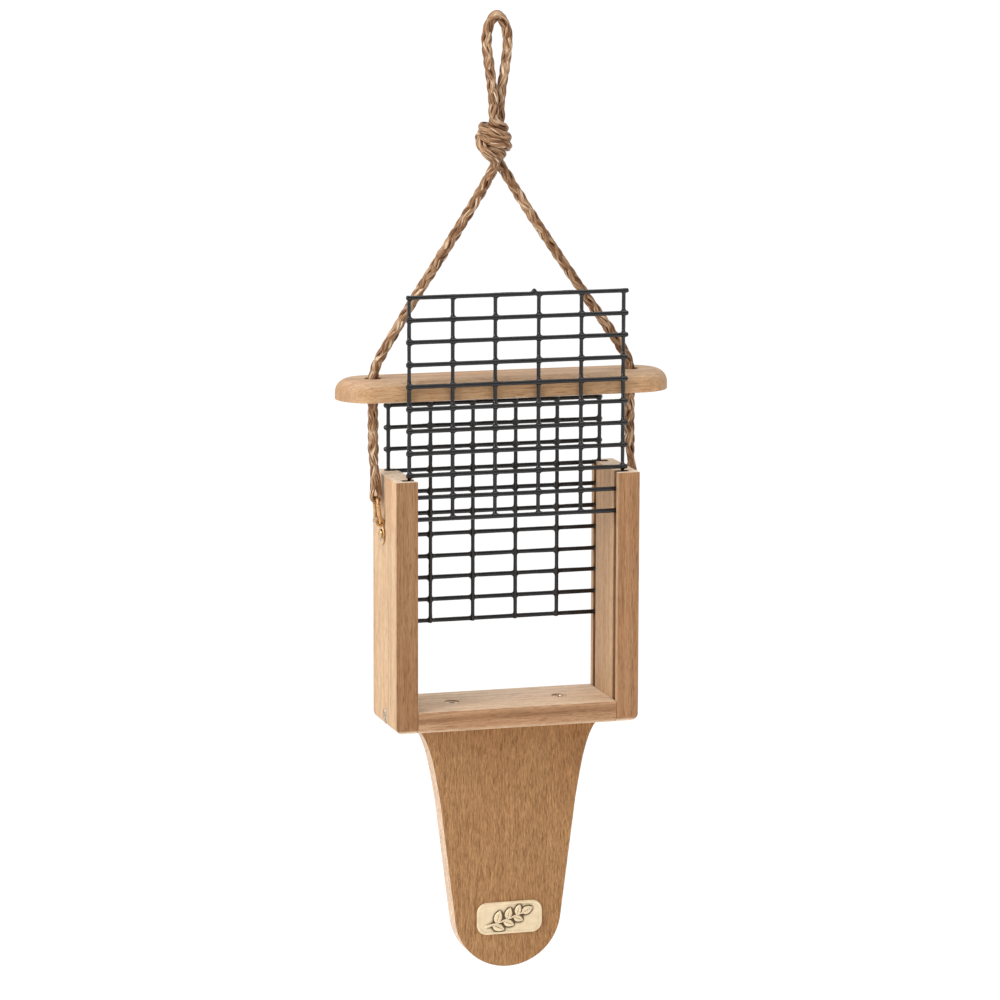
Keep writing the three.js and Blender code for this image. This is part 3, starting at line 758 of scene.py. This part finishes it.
def make_hardware():
    for side, name in ((-1, "left"), (1, "right")):
        ring(side, name)
        strap(side, name)
        outward = Matrix.Rotation(side * math.pi / 2, 4, "Y")
        outside = PLATE_FACE + STRAP["thick"] + 0.3
        place = Matrix.Translation((side * outside, ROPE_Y, STRAP["screw_z"])) @ outward
        screw(name + "_hanger_screw_head", "frame", name + "_hanger_screw", "hanger_brass", DOME,
              place @ Matrix.Rotation(0.5, 4, "Z"), 1.3, (1.9, 0.32, 0.9), 1)
        place = Matrix.Translation((side * POST["outer"], 0, FRAME_SCREW_Z)) @ outward @ Matrix.Rotation(0.3, 4, "Z")
        screw(name + "_frame_screw_head", "frame", name + "_frame_screw", "screw_steel",
              countersunk(4.3, 3, 1.8, 32), place, 0, (2.6, 0.55, 2))
        turn = Matrix.Rotation(0.7 + side * 0.3, 4, "Z")
        place = Matrix.Translation((side * TAIL_SCREW["x"], 0, -TAIL_SCREW["sunk"])) @ turn
        screw(name + "_tail_screw_head", "frame", name + "_tail_screw", "screw_steel",
              countersunk(4.0, 3, 1.8, 38), place, 0, (2.6, 0.62, 2.2))


make_hardware()

# ---- Badge: a cast plate with a raised rim and a sprig of leaves ----

SPRIG = {"stem": ((-14, -4.6), (-6, -2.8), (2, 0.4), (7.8, 2.6)), "leaf": 8.0, "leaf_width": 2.5}


def stem_point(t):
    a, b, c, d = np.array(SPRIG["stem"])
    return (1 - t) ** 3 * a + 3 * (1 - t) ** 2 * t * b + 3 * (1 - t) * t**2 * c + t**3 * d


def leaf_height(x, z, foot, angle, length):
    """How high a leaf stands at each point: a pointed oval, domed, with a groove along its middle."""
    u = ((x - foot[0]) * math.cos(angle) + (z - foot[1]) * math.sin(angle)) / length
    v = -(x - foot[0]) * math.sin(angle) + (z - foot[1]) * math.cos(angle)
    half = SPRIG["leaf_width"] * length / SPRIG["leaf"] * np.sin(math.pi * np.clip(u, 0, 1) ** 0.8) ** 0.8
    inside = (u > 0) & (u < 1) & (half > 1e-3)
    share = np.where(inside, np.clip(1 - (v / np.maximum(half, 1e-3)) ** 2, 0, 1), 0)
    groove = 0.32 * np.exp(-((v / 0.22) ** 2)) * (share > 0)
    veins = 0.10 * np.cos((u * length - np.abs(v) * 0.9) * 4.4) * share
    return np.sqrt(share) * 0.75 + (veins - groove) * (share > 0.05)


def sprig(x, z):
    height = np.zeros_like(x)
    for t in np.linspace(0, 1, 60):
        foot = stem_point(t)
        height = np.maximum(height, 0.6 * np.exp(-(((x - foot[0]) ** 2 + (z - foot[1]) ** 2) / 0.4)))
    heading = math.atan2(9.8, 21.7)
    for i, t in enumerate((0.2, 0.48, 0.76)):
        for hand in (-1, 1):
            foot = stem_point(t + 0.05 * hand)
            height = np.maximum(height, leaf_height(x, z, foot, heading + hand * 0.85, SPRIG["leaf"] - 0.7 * i))
    return np.maximum(height, leaf_height(x, z, stem_point(0.97), heading, SPRIG["leaf"] - 0.6))


def blurred(field, radius):
    kernel = np.exp(-0.5 * (np.arange(-3 * radius, 3 * radius + 1) / radius) ** 2)
    kernel /= kernel.sum()
    for axis in (0, 1):
        field = np.apply_along_axis(lambda row: np.convolve(row, kernel, "same"), axis, field)
    return field


PLATE = {"corner": 6.2, "rim_in": 0.7, "rim_half": 0.8, "rim_height": 0.22, "relief": 1.15, "relief_room": 0.85}


def badge():
    low, high = span("badge")
    width, height, corner = high.x - low.x, high.z - low.z, PLATE["corner"]
    depth = high.y - low.y
    middle = (low + high) / 2
    step = 0.2
    xs = np.linspace(-width / 2, width / 2, round(width / step) + 1)
    zs = np.linspace(-height / 2, height / 2, round(height / step) + 1)
    # The grid is squeezed on to the rounded rectangle, so its border is the plate's outline.
    x, z = np.meshgrid(xs, zs, indexing="ij")
    over_x = np.maximum(np.abs(x) - (width / 2 - corner), 0)
    over_z = np.maximum(np.abs(z) - (height / 2 - corner), 0)
    far, near = np.maximum(over_x, over_z), np.minimum(over_x, over_z)
    shrink = np.where(far > 0, far / np.maximum(np.hypot(far, near), 1e-6), 1)
    x = np.sign(x) * (np.abs(x) - over_x * (1 - shrink))
    z = np.sign(z) * (np.abs(z) - over_z * (1 - shrink))
    edge = corner - np.hypot(np.maximum(np.abs(x) - (width / 2 - corner), 0),
                             np.maximum(np.abs(z) - (height / 2 - corner), 0))
    inner = np.minimum(np.minimum(width / 2 - np.abs(x), height / 2 - np.abs(z)), edge)
    rim = np.exp(-(((inner - PLATE["rim_in"]) / PLATE["rim_half"]) ** 4)) * PLATE["rim_height"]
    relief = PLATE["relief"] * sprig(x, z)
    round_over = np.sqrt(np.clip(1 - (1 - np.clip(inner / 0.6, 0, 1)) ** 2, 0, 1))
    plain = (depth - PLATE["relief_room"]) * (0.45 + 0.55 * round_over)
    face = plain + np.maximum(rim, relief) * (inner > 0.05)
    field = rim + relief * 1.3
    near = blurred(field, 4) * 2.6 + blurred(field, 9) * 1.1
    patina = np.clip(near - field * 3.4, 0, 1)
    rows, columns = x.shape
    front = np.stack([middle.x + x, high.y - face, middle.z + z], -1).reshape(-1, 3)
    back = np.stack([middle.x + x, np.full_like(x, high.y), middle.z + z], -1).reshape(-1, 3)
    index = np.arange(rows * columns).reshape(rows, columns)
    quads = np.stack([index[:-1, :-1], index[1:, :-1], index[1:, 1:], index[:-1, 1:]], -1).reshape(-1, 4)
    border = [*index[:, 0], *index[-1, 1:], *index[-2::-1, -1], *index[0, -2:0:-1]]
    count = rows * columns
    walls = [[a, a + count, b + count, b] for a, b in zip(border, border[1:] + border[:1])]
    back_face = [[i + count for i in border[::-1]]]
    piece = new_piece("badge_casting", np.vstack([front, back]), [*quads.tolist(), *walls, *back_face], BADGE)
    data = np.concatenate([patina.reshape(-1), np.zeros(count)])
    piece.data.attributes.new("patina", "FLOAT", "POINT").data.foreach_set("value", data)
    crisp(piece, 50)
    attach(piece, "frame")
    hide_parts("badge")


badge()

# ---- Studio ----

# Where each lamp stands, in millimetres, its width and height in metres, and its power.
LAMPS = {
    "key": ((-1500, -700, 900), (0.9, 1.2), 22),
    "top": ((200, -300, 1700), (1.4, 1.0), 6),
    "fill": ((1500, -1600, 400), (1.2, 1.2), 3),
}
FLOOR = {"half_size": 40.0, "below": 0.9, "glow": 0.22}
SKY = {"front": (-0.9, 0.42), "back": (0.1, 0.98)}  # a direction's y, and how bright the sky is there


def light(name, place, aim, size, power):
    data = bpy.data.lights.new(name, "AREA")
    data.shape = "RECTANGLE"
    data.size, data.size_y = size
    data.energy = power
    lamp = bpy.data.objects.new(name, data)
    lamp.location = place
    lamp.rotation_euler = (Vector(aim) - Vector(place)).to_track_quat("-Z", "Y").to_euler()
    bpy.context.scene.collection.objects.link(lamp)


def make_sky():
    world = bpy.data.worlds.new("studio")
    world.use_nodes = True
    nodes, links = world.node_tree.nodes, world.node_tree.links
    sky = nodes["Background"]
    sky.inputs[0].default_value = (1, 1, 1, 1)
    direction, axes, shade = [nodes.new("ShaderNode" + kind) for kind in ("TexCoord", "SeparateXYZ", "MapRange")]
    (front, dim), (back, bright) = SKY["front"], SKY["back"]
    for socket, value in zip(list(shade.inputs)[1:5], (front, back, dim, bright)):
        socket.default_value = value
    links.new(direction.outputs["Generated"], axes.inputs[0])
    links.new(axes.outputs[1], shade.inputs[0])
    links.new(shade.outputs[0], sky.inputs[1])
    bpy.context.scene.world = world


def make_floor():
    s = Shader("studio_floor", Roughness=0.9, Specular_IOR_Level=0.1)
    grain = s.noise(s.coordinates(), 40, detail=2)
    s.colour(s.mix(grain, (0.97, 0.97, 0.97), (0.99, 0.99, 0.99)))
    s.surface.inputs["Emission Color"].default_value = (1, 1, 1, 1)
    s.surface.inputs["Emission Strength"].default_value = FLOOR["glow"]
    low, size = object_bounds()[0].z - FLOOR["below"], FLOOR["half_size"]
    outline = [(-size, -size, low), (size, -size, low), (size, size, low), (-size, size, low)]
    mesh = bpy.data.meshes.new("studio_floor")
    mesh.from_pydata(outline, [], [(0, 1, 2, 3)])
    mesh.materials.append(s.material)
    floor = bpy.data.objects.new("studio_floor", mesh)
    bpy.context.scene.collection.objects.link(floor)
    floor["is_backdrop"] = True


def studio():
    bpy.context.scene.view_settings.view_transform = "Standard"
    make_sky()
    make_floor()
    for name, (place, size, power) in LAMPS.items():
        light(name, at(*place), at(0, 0, 100), size, power)


studio()
